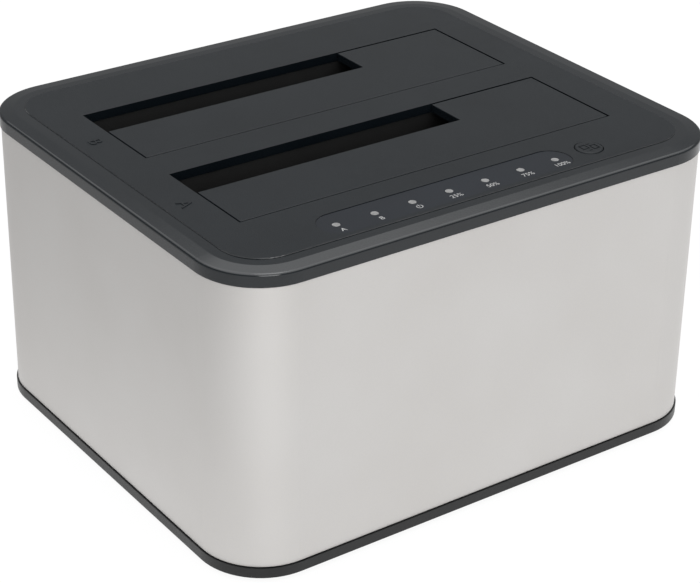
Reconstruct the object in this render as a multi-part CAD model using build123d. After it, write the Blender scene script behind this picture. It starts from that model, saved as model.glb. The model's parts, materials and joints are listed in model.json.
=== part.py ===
from build123d import *
import os
from math import cos, hypot, radians, sin, tan

os.makedirs("parts", exist_ok=True)

# Sizes are in millimetres. X runs left to right along the front, Y front to back, Z up.
# The origin is on the floor, under the centre of the whole object.

# Case
body_width = 135.6
body_depth = 115.8
corner_radius = 16.0
foot_proud = 1.0
base_rim_height = 2.85
shell_height = 68.9
cover_rise = 3.6
shell_inset = 0.4
shell_wall = 1.5
shell_edge_chamfer = 0.3
slip_gap = 0.15
lip_wall = 1.6
seat_gap = 0.2

# Top cover
cover_plate = 2.2
shoulder_reach = 3.6
shoulder_drop = 0.3
shoulder_edge_radius = 0.7
shoulder_overcut = 1.0
border_width = 6.2
field_rise = 0.25
field_edge_radius = 0.2
cover_lip_depth = 5.0

# Drive bays, each a wide opening with a narrow slot at its back left
bay_count = 2
bay_land = 10.2
slot_width = 72.3
slot_depth = 11.3

# Flaps and their hinges
flap_thickness = 2.0
flap_front_seam = 0.3
flap_side_seam = 0.4
flap_back_seam = 0.4
flap_edge_radius = 0.25
flap_rib_depth = 1.2
flap_rib_wall = 1.0
flap_rib_margin = 4.0
hinge_drop = 4.1
hinge_forward = 1.7
pin_radius = 0.75
pin_fit = 0.05
knuckle_radius = 1.6
knuckle_width = 6.0
knuckle_margin = 5.0
arm_reach = 3.0
ear_reach = 1.0
ear_height = 1.4
ear_length = 2.8
ear_root = 2.6
stop_gap = 0.1

# Flap springs
spring_wire_radius = 0.3
spring_coil_radius = 1.2
spring_pitch = 1.1
spring_turns = 5
spring_leg_length = 8.5
spring_tail_length = 4.0
spring_leg_rise = 3.0
spring_root = 0.2
spring_tail_splay = 6.0

# Drive frame
frame_wall = 1.8
frame_side_gap = 1.4
frame_front_gap = 1.2
frame_back_gap = 0.3
well_floor_thickness = 1.8
well_floor_drop = 1.0
trough_reach = 3.9
trough_depth = 9.7
trough_wall = 1.6
guide_rib_depth = 0.9
guide_rib_width = 2.0
guide_rib_drop = 38.0
guide_rib_lead = 2.5
guide_rib_root = 0.5
guide_rib_front_inset = 8.0
guide_rib_back_inset = 7.0
tie_rib_width = 1.6
tie_rib_count = 5
tie_rib_margin = 6.85
leg_radius = 3.3
leg_offset = 4.4
leg_gap = 1.6
leg_height = 20.0
leg_front_inset = 1.0
leg_back_inset = 2.0
tab_radius = 3.4
tab_thickness = 2.2
tab_drop = 11.0

# Base tray
base_floor = 2.0
base_edge_radius = 0.3
base_lip_height = 5.0
shadow_gap = 0.25
shadow_depth = 0.5
standoff_radius = 3.0
standoff_height = 3.0
base_boss_radius = 4.4
base_boss_height = 3.6
vent_count = 9
vent_pitch = 6.0
vent_width = 2.0
vent_length = 34.0

# Rubber feet
foot_radius = 6.0
foot_thickness = 2.0
foot_edge_radius = 0.4

# Screws
case_screw_radius = 1.4
case_screw_length = 13.0
small_screw_radius = 1.1
board_screw_length = 4.0
frame_screw_length = 7.5
indicator_screw_length = 5.0
head_ratio = 1.85
head_height = 1.5
head_edge_radius = 0.65
cross_width = 0.5
cross_depth = 0.6
screw_tip_chamfer = 0.4
thread_gap = 0.05
shank_gap = 0.2

# Main board
board_thickness = 1.6
board_side_gap = 0.35
board_front_setback = 11.5
board_back_gap = 0.75
board_corner_radius = 3.0
board_hole_inset = 4.5
board_hole_gap = 0.25

# Drive sockets on the main board
socket_head_width = 37.0
socket_head_depth = 5.2
socket_foot_width = 41.0
socket_foot_depth = 7.4
socket_foot_height = 5.6
socket_height = 15.0
socket_hole_gap = 0.5
socket_edge_chamfer = 0.4
socket_from_left = 22.6
socket_from_back = 4.9
tongue_slot_width = 1.9
tongue_slot_depth = 6.0
power_slot_length = 21.4
data_slot_length = 11.2
slot_key_length = 2.9
slot_web = 1.4
contact_pitch = 1.27
contact_width = 0.7
contact_thickness = 0.35
contact_setback = 0.6
power_contacts = 15
data_contacts = 7

# Rear sockets and switch
usb_x = -14.0
usb_width = 12.0
usb_height = 12.8
usb_length = 17.0
usb_gap = 4.1
usb_wall = 0.5
usb_face_setback = 0.5
usb_mouth_wall = 0.6
usb_mouth_width = 8.6
usb_mouth_height = 7.5
usb_mouth_bevel = 1.4
usb_mouth_depth = 10.5
usb_upper_mouth_width = 6.4
usb_tongue_width = 5.4
usb_tongue_height = 3.1
usb_upper_width = 5.0
usb_upper_height = 0.9
usb_upper_drop = 2.2
usb_tongue_setback = 1.6
port_gap = 0.3
jack_x = 12.0
jack_width = 9.0
jack_height = 11.0
jack_length = 11.5
jack_nose_radius = 4.0
jack_nose_gap = 0.2
jack_nose_root = 1.0
jack_bore_radius = 3.15
jack_bore_depth = 9.0
jack_bore_drop = 4.9
jack_pin_radius = 1.0
jack_pin_setback = 0.8
jack_pin_seat = 2.0
jack_pin_round = 0.6
switch_x = 37.0
switch_height = 24.0
switch_flange_width = 10.6
switch_flange_height = 15.2
switch_flange_thickness = 1.0
switch_flange_radius = 1.0
switch_body_width = 8.6
switch_body_height = 13.6
switch_body_depth = 11.0
rocker_width = 6.4
rocker_half_height = 4.6
rocker_pivot_depth = 3.2
rocker_stand = 0.3
rocker_tilt = 9.0
rocker_gap = 0.2
rocker_pivot_radius = 0.9
rocker_pivot_gap = 0.08
rocker_hub_radius = 1.8
rocker_skirt = 0.5
rocker_axle_inset = 0.2
terminal_width = 4.0
terminal_thickness = 0.8
terminal_length = 5.0
terminal_spacing = 6.0
lead_radius = 0.7
lead_spacing = 2.4
lead_setback = 3.2
lead_bend = 2.8

# Indicator strip, its board and the clone button
indicator_count = 7
indicator_pitch = 10.0
indicator_first_x = -35.15
indicator_setback = 12.1
strip_margin = 4.1
strip_height = 9.9
strip_setback = 12.35
strip_recess = 0.25
overlay_thickness = 0.15
overlay_gap = 0.1
guide_tip_radius = 0.9
guide_hole_gap = 0.05
guide_bar_height = 1.2
guide_bar_width = 3.2
guide_bar_reach = 1.6
guide_leg_radius = 1.1
guide_led_gap = 0.3
led_length = 3.2
led_width = 1.6
led_height = 1.1
indicator_board_drop = 8.8
indicator_board_depth = 11.4
indicator_board_gap = 0.9
indicator_board_end = 4.5
indicator_board_thickness = 1.2
indicator_board_setback = 11.9
indicator_post_radius = 2.5
post_before_lights = 8.35
post_after_button = 9.15
button_after_lights = 10.5
button_setback = 12.6
button_radius = 3.3
button_gap = 0.15
button_proud = 0.2
button_edge_radius = 0.4
button_skirt_radius = 4.4
button_skirt_height = 1.0
button_skirt_gap = 0.1
button_stem_radius = 1.6
button_travel = 0.5
switch_case_side = 6.0
switch_case_height = 3.5
switch_case_corner = 0.5
plunger_radius = 1.6
plunger_rise = 1.0
plunger_depth = 1.5
plunger_gap = 0.1
plunger_chamfer = 0.2

# Ribbon between the boards
ribbon_x = -6.0
ribbon_width = 8.0
ribbon_thickness = 0.3
ribbon_bend = 9.0
ribbon_low_setback = 16.2
ribbon_high_setback = 11.0
header_length = 11.0
header_depth = 3.0
header_height = 2.6
header_slot_depth = 1.2
header_slot_gap = 0.1

# Components on the main board
chip_side = 12.0
chip_height = 1.4
chip_chamfer = 0.25
chip_lead_reach = 1.0
small_chip_width = 5.0
small_chip_length = 6.0
coil_side = 6.6
coil_height = 3.4
coil_corner = 1.4
coil_edge_radius = 0.5
capacitor_radius = 3.15
capacitor_height = 7.4
capacitor_base = 0.8
capacitor_base_half = 3.3
capacitor_edge_radius = 0.5
chip_standoff = 0.2
chip_leads = 10
chip_lead_pitch = 1.0
chip_lead_width = 0.4
chip_place = (14.0, 50.0)
small_chip_places = ((20.5, 62.0), (20.5, 70.0))
coil_places = ((36.5, 76.0), (14.5, 84.0))
capacitor_xs = (-40.0, -30.0, 26.0)
capacitor_gap = 0.2
crystal_place = (2.0, 66.0)
crystal_length = 11.0
crystal_width = 4.6
crystal_height = 3.4
crystal_edge_radius = 0.4

# Levels worked out from the sizes above
base_bottom = foot_proud
floor_top = base_bottom + base_floor
shell_bottom = base_bottom + base_rim_height
shell_top = shell_bottom + shell_height
top = shell_top + cover_rise
plate_under = top - cover_plate
board_bottom = floor_top + standoff_height
board_top = board_bottom + board_thickness
well_floor = board_top + socket_height - tongue_slot_depth - well_floor_drop
frame_bottom = well_floor - well_floor_thickness
frame_top = plate_under - seat_gap
trough_floor = top - trough_depth
foot_top = foot_thickness
boss_top = floor_top + base_boss_height

# The rocker's far tip is the rearmost point, so it sets the box that the origin is centred in
rocker_dip = rocker_half_height * tan(radians(rocker_tilt))
rocker_tip_out = rocker_pivot_depth + rocker_dip
rocker_radius = hypot(rocker_tip_out, rocker_half_height)
pivot_behind_flange = rocker_pivot_depth - rocker_stand
rocker_tip_reach = (
    rocker_tip_out * cos(radians(rocker_tilt))
    + rocker_half_height * sin(radians(rocker_tilt))
)
rear_reach = switch_flange_thickness + rocker_tip_reach - pivot_behind_flange - shell_inset

# Bays worked out as the room that the frame, the legs and both boards leave in the case
lip_inset = shell_inset + shell_wall + slip_gap
lip_inner = lip_inset + lip_wall
bay_side_margin = (
    lip_inner + leg_gap + leg_radius + leg_offset + frame_wall + frame_side_gap
)
bay_front_margin = (
    indicator_board_setback
    + indicator_board_depth / 2
    + indicator_board_gap
    + trough_wall
    + trough_reach
)
bay_back_margin = shell_inset + usb_length + usb_gap + frame_wall + frame_back_gap
bay_width = body_width - 2 * bay_side_margin
bay_room = body_depth - bay_front_margin - bay_back_margin
bay_depth = (bay_room - bay_land * (bay_count - 1)) / bay_count
bay_pitch = bay_depth + bay_land

# Places worked out from the sizes above
front = -(body_depth + rear_reach) / 2
back = front + body_depth
middle = front + body_depth / 2
shell_back = back - shell_inset
bay_left = -bay_width / 2
bay_right = bay_width / 2
bay_fronts = [front + bay_front_margin + bay_pitch * i for i in range(bay_count)]
bay_names = ["front", "rear"]
frame_half_width = bay_width / 2 + frame_side_gap + frame_wall
frame_front = bay_fronts[0] - frame_front_gap - frame_wall
frame_back = bay_fronts[-1] + bay_depth + frame_back_gap + frame_wall
leg_x = frame_half_width + leg_offset
leg_places = [
    (side * leg_x, y)
    for y in (frame_front + leg_front_inset, frame_back - leg_back_inset)
    for side in (-1, 1)
]
tab_places = [
    (side * leg_x, y)
    for y in (bay_fronts[0] + bay_depth / 2, bay_fronts[-1] + bay_depth / 2)
    for side in (-1, 1)
]
tie_rib_pitch = 2 * (frame_half_width - tie_rib_margin) / (tie_rib_count - 1)
board_width = 2 * (leg_x - base_boss_radius - board_side_gap)
board_front = front + board_front_setback
board_back = back - lip_inner - board_back_gap
small_head_radius = small_screw_radius * head_ratio
board_hole_back = board_back - board_hole_inset
capacitor_y = board_hole_back - small_head_radius - capacitor_gap - capacitor_base_half
board_holes = [
    (side * (board_width / 2 - board_hole_inset), y)
    for y in (board_front + board_hole_inset, board_hole_back)
    for side in (-1, 1)
]
indicator_y = front + indicator_setback
indicator_xs = [indicator_first_x + indicator_pitch * i for i in range(indicator_count)]
indicator_board_y = front + indicator_board_setback
indicator_board_top = top - indicator_board_drop
indicator_board_bottom = indicator_board_top - indicator_board_thickness
button_x = indicator_xs[-1] + button_after_lights
button_y = front + button_setback
indicator_post_xs = [indicator_xs[0] - post_before_lights, button_x + post_after_button]
switch_face = shell_back + switch_flange_thickness
pivot_y = switch_face - pivot_behind_flange
pivot_z = base_bottom + switch_height


def rect(x0, x1, y0, y1):
    """A rectangle between two corners in plan."""
    return Pos((x0 + x1) / 2, (y0 + y1) / 2) * Rectangle(x1 - x0, y1 - y0)


def slab(sketch, low, high):
    """A plan outline raised between two levels."""
    return Pos(0, 0, low) * extrude(sketch, high - low)


def block(x0, x1, y0, y1, z0, z1):
    """A block between two corners."""
    return slab(rect(x0, x1, y0, y1), z0, z1)


def rod(x, y, low, high, radius):
    """An upright round rod between two levels."""
    return slab(Pos(x, y) * Circle(radius), low, high)


def across(outline, x0, x1):
    """An outline drawn in Y and Z, extended along X."""
    return Pos(x0, 0, 0) * extrude(Plane.YZ * outline, x1 - x0)


def case_outline(inset):
    """The case's plan outline, moved inwards."""
    size = (body_width - 2 * inset, body_depth - 2 * inset)
    return Pos(0, middle) * RectangleRounded(*size, corner_radius - inset)


def top_edges(shape):
    """The edges round the highest face."""
    return shape.faces().sort_by(Axis.Z)[-1].edges()


def bottom_edges(shape):
    """The edges round the lowest face."""
    return shape.faces().sort_by(Axis.Z)[0].edges()


def screw(x, y, head_side, shank_radius, length, upwards=True):
    """A pan head screw whose head bears at one level."""
    head_radius = shank_radius * head_ratio
    head = Pos(0, 0, -head_height) * extrude(Circle(head_radius), head_height)
    head = fillet(bottom_edges(head), head_edge_radius)
    cross = Pos(0, 0, -head_height) * extrude(
        Rectangle(head_radius, cross_width) + Rectangle(cross_width, head_radius), cross_depth
    )
    shank = extrude(Circle(shank_radius), length)
    shank = chamfer(top_edges(shank), screw_tip_chamfer)
    turn = 0 if upwards else 180
    return Pos(x, y, head_side) * Rot(turn, 0, 0) * (head - cross + shank)


def bay_outline(bay_front):
    """The wide opening of one bay."""
    return rect(bay_left, bay_right, bay_front, bay_front + bay_depth)


def strip_outline(inset):
    """The indicator strip's rounded outline."""
    length = indicator_pitch * (indicator_count - 1) + 2 * strip_margin
    centre = (indicator_xs[0] + indicator_xs[-1]) / 2
    return Pos(centre, front + strip_setback) * SlotOverall(
        length - 2 * inset, strip_height - 2 * inset
    )


def shoulder_waste():
    """What the cover's shallow bevel and rounded edge take off, swept round the case."""
    path = (Pos(0, 0, top - field_rise) * case_outline(0)).wire()
    depth = shoulder_drop + shoulder_edge_radius
    kept = Polygon(
        (-depth, -shoulder_reach), (0, -shoulder_reach), (-shoulder_drop, 0), (-depth, 0), align=None
    )
    outer = kept.vertices().group_by(Axis.Y)[-1].sort_by(Axis.X)[-1]
    corner = rect(-depth, shoulder_overcut, -shoulder_reach, shoulder_overcut)
    corner -= fillet(outer, shoulder_edge_radius)
    section = Plane(origin=path @ 0, x_dir=(0, 0, 1), z_dir=path % 0) * corner
    return sweep(section, path=path)


def make_top_cover():
    shape = slab(case_outline(0), shell_top, top - field_rise) - shoulder_waste()
    field = slab(case_outline(border_width), plate_under, top)
    shape += fillet(top_edges(field), field_edge_radius)
    shape += slab(case_outline(lip_inset), shell_top - cover_lip_depth, shell_top)
    hollow = case_outline(lip_inner)
    shape -= slab(hollow, shell_top - cover_lip_depth, plate_under)
    for x, y in tab_places:
        post = rod(x, y, top - tab_drop, plate_under, tab_radius)
        shape += post - rod(
            x, y, top - tab_drop, plate_under, small_screw_radius + thread_gap
        )
    for x in indicator_post_xs:
        post = rod(x, indicator_board_y, indicator_board_top, plate_under, indicator_post_radius)
        shape += post - rod(
            x, indicator_board_y, indicator_board_top, plate_under, small_screw_radius + thread_gap
        )
    for bay_front in bay_fronts:
        shape -= slab(bay_outline(bay_front), plate_under, top)
    shape -= slab(strip_outline(0), top - strip_recess, top)
    for x in indicator_xs:
        shape -= rod(x, indicator_y, plate_under, top, guide_tip_radius + guide_hole_gap)
    shape -= rod(button_x, button_y, plate_under, top, button_radius + button_gap)
    return shape


def make_outer_shell():
    shape = slab(case_outline(shell_inset), shell_bottom, shell_top)
    shape = chamfer(top_edges(shape), shell_edge_chamfer)
    shape -= slab(case_outline(shell_inset + shell_wall), shell_bottom, shell_top)
    inner = shell_back - shell_wall
    shape -= block(
        usb_x - usb_width / 2 - port_gap,
        usb_x + usb_width / 2 + port_gap,
        inner,
        shell_back,
        board_top - port_gap,
        board_top + usb_height + port_gap,
    )
    nose_z = board_top + jack_height - jack_bore_drop
    hole = Pos(jack_x, inner, nose_z) * Rot(-90, 0, 0) * extrude(
        Circle(jack_nose_radius + jack_nose_gap), shell_wall
    )
    shape -= hole
    shape -= block(
        switch_x - switch_body_width / 2 - slip_gap,
        switch_x + switch_body_width / 2 + slip_gap,
        inner,
        shell_back,
        pivot_z - switch_body_height / 2 - slip_gap,
        pivot_z + switch_body_height / 2 + slip_gap,
    )
    return shape


def make_base_tray():
    shape = slab(case_outline(0), base_bottom, shell_bottom - shadow_gap)
    shape = fillet(bottom_edges(shape), base_edge_radius)
    shape += slab(case_outline(shell_inset + shadow_depth), base_bottom + base_edge_radius, shell_bottom)
    shape += slab(case_outline(lip_inset), shell_bottom, shell_bottom + base_lip_height)
    hollow = case_outline(lip_inner)
    shape -= slab(hollow, floor_top, shell_bottom + base_lip_height)
    for x, y in board_holes:
        post = rod(x, y, floor_top, board_bottom, standoff_radius)
        shape += post - rod(x, y, floor_top, board_bottom, small_screw_radius + thread_gap)
    head_radius = case_screw_radius * head_ratio + shank_gap
    for x, y in leg_places:
        shape += rod(x, y, floor_top, boss_top, base_boss_radius)
        shape -= rod(x, y, base_bottom, foot_top, foot_radius + slip_gap)
        shape -= rod(x, y, foot_top, foot_top + head_height + shank_gap, head_radius)
        shape -= rod(x, y, foot_top, boss_top, case_screw_radius + shank_gap)
    lip_back = back - lip_inset
    for x, width in ((usb_x, usb_width), (jack_x, jack_width)):
        shape -= block(
            x - width / 2 - port_gap,
            x + width / 2 + port_gap,
            lip_back - lip_wall,
            lip_back,
            board_top - port_gap,
            shell_bottom + base_lip_height,
        )
    for i in range(vent_count):
        x = (i - (vent_count - 1) / 2) * vent_pitch
        vent = Pos(x, middle) * Rot(0, 0, 90) * SlotOverall(vent_length, vent_width)
        shape -= slab(vent, base_bottom, floor_top)
    return shape


def make_foot(x, y):
    pad = rod(x, y, 0, foot_top, foot_radius)
    return fillet(bottom_edges(pad), foot_edge_radius)


def frame_profile(bay_front, grow):
    """One well and its hinge trough, seen from the side."""
    well = rect(
        bay_front - frame_front_gap - grow * frame_wall,
        bay_front + bay_depth + frame_back_gap + grow * frame_wall,
        well_floor - grow * well_floor_thickness,
        frame_top,
    )
    trough = rect(
        bay_front - trough_reach - grow * trough_wall,
        bay_front,
        trough_floor - grow * trough_wall,
        frame_top,
    )
    return well + trough


def make_drive_frame():
    inner_half = frame_half_width - frame_wall
    outer = [across(frame_profile(y, 1), -frame_half_width, frame_half_width) for y in bay_fronts]
    shape = outer[0] + outer[1:]
    shape += block(
        -frame_half_width, frame_half_width, frame_front, frame_back, frame_bottom, well_floor
    )
    for i in range(tie_rib_count):
        x = (i - (tie_rib_count - 1) / 2) * tie_rib_pitch
        shape += block(
            x - tie_rib_width / 2,
            x + tie_rib_width / 2,
            bay_fronts[0] + bay_depth,
            bay_fronts[-1],
            frame_bottom,
            trough_floor,
        )
    for x, y in leg_places:
        side = 1 if x > 0 else -1
        web = Pos(x - side * leg_offset / 2, y) * Rectangle(leg_offset, tie_rib_width)
        shape += slab(web, boss_top, frame_bottom + leg_height)
        shape += rod(x, y, boss_top, frame_bottom + leg_height, leg_radius)
        shape += slab(web, frame_bottom, frame_top - trough_depth)
    tab_top = top - tab_drop
    for x, y in tab_places:
        side = 1 if x > 0 else -1
        root = Pos(x - side * leg_offset / 2, y) * Rectangle(leg_offset, 2 * tab_radius)
        plan = root + Pos(x, y) * Circle(tab_radius)
        shape += slab(plan, tab_top - tab_thickness, tab_top)
    for bay_front in bay_fronts:
        shape -= across(frame_profile(bay_front, 0), -inner_half, inner_half)
        shape -= socket_hole(bay_front)
        pin_hole = Pos(bay_front - hinge_forward, top - hinge_drop) * Circle(pin_radius + pin_fit / 2)
        shape -= across(pin_hole, -frame_half_width, frame_half_width)
        rib_back = bay_front + bay_depth - guide_rib_back_inset
        for y in (bay_front + guide_rib_front_inset, rib_back):
            wedge = Polygon(
                (inner_half + guide_rib_root, well_floor - guide_rib_root),
                (inner_half - guide_rib_depth, well_floor - guide_rib_root),
                (inner_half - guide_rib_depth, top - guide_rib_drop),
                (inner_half + guide_rib_root, top - guide_rib_drop + guide_rib_lead),
                align=None,
            )
            ridge = extrude(Plane.XZ * wedge, guide_rib_width / 2, both=True)
            shape += Pos(0, y, 0) * ridge
            shape += Pos(0, y, 0) * mirror(ridge, Plane.YZ)
    for x, y in leg_places:
        shape -= rod(x, y, boss_top, boss_top + case_screw_length, case_screw_radius + thread_gap)
    for x, y in tab_places:
        shape -= rod(x, y, tab_top - tab_thickness, tab_top, small_screw_radius + shank_gap)
    return shape


def socket_centre(bay_front):
    """The middle of one bay's drive socket in plan."""
    return bay_left + socket_from_left, bay_front + bay_depth - socket_from_back


def socket_hole(bay_front):
    """The hole in a well's floor that its socket stands in."""
    x, y = socket_centre(bay_front)
    width = socket_head_width + 2 * socket_hole_gap
    depth = socket_head_depth + 2 * socket_hole_gap
    return slab(Pos(x, y) * Rectangle(width, depth), frame_bottom, well_floor)


def make_flap(bay_front):
    left = bay_left + flap_side_seam
    right = bay_right - flap_side_seam
    y0 = bay_front + flap_front_seam
    y1 = bay_front + bay_depth - flap_back_seam
    slot_right = bay_left + slot_width
    slot_front = bay_front + bay_depth - slot_depth
    under = top - flap_thickness
    plan = rect(left, right, y0, y1) - rect(left, slot_right, slot_front, y1)
    shape = slab(plan, under, top)
    shape = fillet(top_edges(shape), flap_edge_radius)
    # Stiffening ribs that follow the long edge and the arm beside the slot
    rib_low = under - flap_rib_depth
    rib_y = slot_front - flap_rib_margin
    shape += block(
        left + flap_rib_margin, right - flap_rib_margin, rib_y - flap_rib_wall, rib_y, rib_low, under
    )
    for x in (slot_right + flap_rib_margin, right - flap_rib_margin):
        shape += block(x - flap_rib_wall, x, rib_y, y1 - flap_rib_margin, rib_low, under)
    # Knuckles round the hinge pin, each on an arm that passes under the cover
    axis_y = bay_front - hinge_forward
    axis_z = top - hinge_drop
    barrel = Pos(axis_y, axis_z) * Circle(knuckle_radius)
    arm = Polygon(
        (axis_y, axis_z - knuckle_radius),
        (bay_front + arm_reach, under),
        (y0, under),
        (y0, axis_z + knuckle_radius),
        (axis_y, axis_z + knuckle_radius),
        align=None,
    )
    bore = Pos(axis_y, axis_z) * Circle(pin_radius + pin_fit)
    for x in knuckle_places():
        shape += across(barrel + arm - bore, x - knuckle_width / 2, x + knuckle_width / 2)
    # Ears that stop the flap level with the cover
    ear_top = plate_under - stop_gap
    ear = Polygon(
        (left + ear_root, under),
        (left, under),
        (left, ear_top),
        (bay_left - ear_reach, ear_top),
        (bay_left - ear_reach, ear_top - ear_height),
        (left + ear_root, ear_top - ear_height),
        align=None,
    )
    lug = Pos(0, y0, 0) * extrude(Plane.XZ * ear, -ear_length)
    return shape + lug + mirror(lug, Plane.YZ)


def knuckle_places():
    """Knuckle centres: one by each end and a pair beside the spring."""
    end = bay_width / 2 - knuckle_margin - knuckle_width / 2
    inner = spring_half_length() + knuckle_width / 2
    return [-end, -inner, inner, end]


def spring_half_length():
    """Half of the room between the two middle knuckles."""
    return spring_pitch * spring_turns / 2 + 2 * spring_wire_radius


def make_flap_pin(bay_front):
    circle = Pos(bay_front - hinge_forward, top - hinge_drop) * Circle(pin_radius)
    return across(circle, -frame_half_width, frame_half_width)


def make_flap_spring(bay_front):
    """A torsion spring: its leg lifts the flap and its tail bears on the trough's wall."""
    length = spring_pitch * (spring_turns + 0.25)
    coil_path = Helix(spring_pitch, length, spring_coil_radius)
    section = Plane(origin=coil_path @ 0, z_dir=coil_path % 0) * Circle(spring_wire_radius)
    # The helix's axis is laid along X, with its first point at the top and its last at the front
    coil = Rot(180, 0, 0) * Rot(0, 90, 0) * sweep(section, path=coil_path, is_frenet=True)
    root = Pos(0, 0, -spring_root)
    leg = root * extrude(Circle(spring_wire_radius), spring_root + spring_leg_length)
    tail = root * extrude(Circle(spring_wire_radius), spring_root + spring_tail_length)
    shape = coil + Pos(0, 0, spring_coil_radius) * Rot(-90 + spring_leg_rise, 0, 0) * leg
    shape += Pos(length, -spring_coil_radius, 0) * Rot(180 - spring_tail_splay, 0, 0) * tail
    return Pos(-length / 2, bay_front - hinge_forward, top - hinge_drop) * shape


def make_main_board():
    depth = board_back - board_front
    plan = Pos(0, board_front + depth / 2) * RectangleRounded(
        board_width, depth, board_corner_radius
    )
    for x, y in board_holes:
        plan -= Pos(x, y) * Circle(small_screw_radius + board_hole_gap)
    return slab(plan, board_bottom, board_top)


def tongue_slots(x):
    """Start, length and contact count of the power and data slots in a drive socket."""
    total = power_slot_length + slot_web + data_slot_length
    power_start = x - total / 2
    data_start = power_start + power_slot_length + slot_web
    return [
        (power_start, power_slot_length, power_contacts),
        (data_start, data_slot_length, data_contacts),
    ]


def make_drive_socket(bay_front):
    x, y = socket_centre(bay_front)
    foot = Pos(x, y) * Rectangle(socket_foot_width, socket_foot_depth)
    head = Pos(x, y) * Rectangle(socket_head_width, socket_head_depth)
    shape = slab(foot, board_top, board_top + socket_foot_height)
    shape = chamfer(top_edges(shape), socket_edge_chamfer)
    upper = slab(head, board_top, board_top + socket_height)
    shape += chamfer(top_edges(upper), socket_edge_chamfer)
    half = tongue_slot_width / 2
    floor = board_top + socket_height - tongue_slot_depth
    for start, length, _ in tongue_slots(x):
        plan = rect(start, start + length, y - half, y + half)
        plan += rect(start, start + tongue_slot_width, y - half, y - half + slot_key_length)
        shape -= slab(plan, floor, board_top + socket_height)
    return shape


def make_drive_contacts(bay_front):
    x, y = socket_centre(bay_front)
    wall = y - tongue_slot_width / 2
    floor = board_top + socket_height - tongue_slot_depth
    blades = []
    for start, length, count in tongue_slots(x):
        centre = start + length / 2
        for i in range(count):
            place = centre + (i - (count - 1) / 2) * contact_pitch
            blades.append(
                block(
                    place - contact_width / 2,
                    place + contact_width / 2,
                    wall,
                    wall + contact_thickness,
                    floor,
                    floor + tongue_slot_depth - contact_setback,
                )
            )
    return Compound(blades)


def make_usb_shell():
    half = usb_width / 2
    low, high = board_top, board_top + usb_height
    outer = block(usb_x - half, usb_x + half, shell_back - usb_length, shell_back, low, high)
    return outer - block(
        usb_x - half + usb_wall,
        usb_x + half - usb_wall,
        shell_back - usb_length + usb_wall,
        shell_back,
        low + usb_wall,
        high - usb_wall,
    )


def make_usb_insulator():
    """The plastic core: a stepped mouth with a broad tongue below and a thin one above."""
    half = usb_width / 2 - usb_wall
    low, high = board_top + usb_wall, board_top + usb_height - usb_wall
    rear = shell_back - usb_length + usb_wall
    face = shell_back - usb_face_setback
    shape = block(usb_x - half, usb_x + half, rear, face, low, high)
    step = low + usb_mouth_wall + usb_mouth_height
    mouth = Polygon(
        (usb_x - usb_mouth_width / 2, low + usb_mouth_wall),
        (usb_x + usb_mouth_width / 2, low + usb_mouth_wall),
        (usb_x + usb_mouth_width / 2, step - usb_mouth_bevel),
        (usb_x + usb_mouth_width / 2 - usb_mouth_bevel, step),
        (usb_x - usb_mouth_width / 2 + usb_mouth_bevel, step),
        (usb_x - usb_mouth_width / 2, step - usb_mouth_bevel),
        align=None,
    )
    upper = rect(
        usb_x - usb_upper_mouth_width / 2,
        usb_x + usb_upper_mouth_width / 2,
        step - usb_mouth_bevel,
        high - usb_mouth_wall,
    )
    cut = Pos(0, face, 0) * extrude(Plane.XZ * (mouth + upper), usb_mouth_depth)
    shape -= cut
    centre = low + usb_mouth_wall + usb_mouth_height / 2
    tongue_rear = face - usb_mouth_depth
    tongue_face = face - usb_tongue_setback
    shape += block(
        usb_x - usb_tongue_width / 2,
        usb_x + usb_tongue_width / 2,
        tongue_rear,
        tongue_face,
        centre - usb_tongue_height / 2,
        centre + usb_tongue_height / 2,
    )
    shape += block(
        usb_x - usb_upper_width / 2,
        usb_x + usb_upper_width / 2,
        tongue_rear,
        tongue_face,
        high - usb_upper_drop,
        high - usb_upper_drop + usb_upper_height,
    )
    return shape


def jack_axis_z():
    """The height of the power jack's bore."""
    return board_top + jack_height - jack_bore_drop


def along_back(x, z, radius, y0, y1):
    """A round rod that runs front to back."""
    return Pos(x, y0, z) * Rot(-90, 0, 0) * extrude(Circle(radius), y1 - y0)


def make_jack_housing():
    face = shell_back
    body_face = shell_back - shell_wall - jack_nose_gap
    shape = block(
        jack_x - jack_width / 2,
        jack_x + jack_width / 2,
        body_face - jack_length,
        body_face,
        board_top,
        board_top + jack_height,
    )
    shape += along_back(jack_x, jack_axis_z(), jack_nose_radius, body_face - jack_nose_root, face)
    shape -= along_back(jack_x, jack_axis_z(), jack_bore_radius, face - jack_bore_depth, face)
    return shape - make_jack_pin()


def make_jack_pin():
    bore_end = shell_back - jack_bore_depth
    tip = shell_back - jack_pin_setback
    pin = along_back(jack_x, jack_axis_z(), jack_pin_radius, bore_end - jack_pin_seat, tip)
    return fillet(pin.faces().sort_by(Axis.Y)[-1].edges(), jack_pin_round)


def make_switch_housing():
    flange = Pos(switch_x, pivot_z) * RectangleRounded(
        switch_flange_width, switch_flange_height, switch_flange_radius
    )
    body = Pos(switch_x, pivot_z) * Rectangle(switch_body_width, switch_body_height)
    shape = Pos(0, switch_face, 0) * extrude(Plane.XZ * flange, switch_flange_thickness)
    shape += Pos(0, switch_face, 0) * extrude(
        Plane.XZ * body, switch_flange_thickness + switch_body_depth
    )
    opening = Pos(switch_x, pivot_z) * Rectangle(
        rocker_width + 2 * rocker_gap, 2 * (rocker_radius + rocker_gap)
    )
    depth = pivot_behind_flange + rocker_hub_radius + rocker_gap
    shape -= Pos(0, switch_face, 0) * extrude(Plane.XZ * opening, depth)
    hole = Pos(pivot_y, pivot_z) * Circle(rocker_pivot_radius + rocker_pivot_gap)
    return shape - across(
        hole, switch_x - switch_body_width / 2, switch_x + switch_body_width / 2
    )


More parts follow.
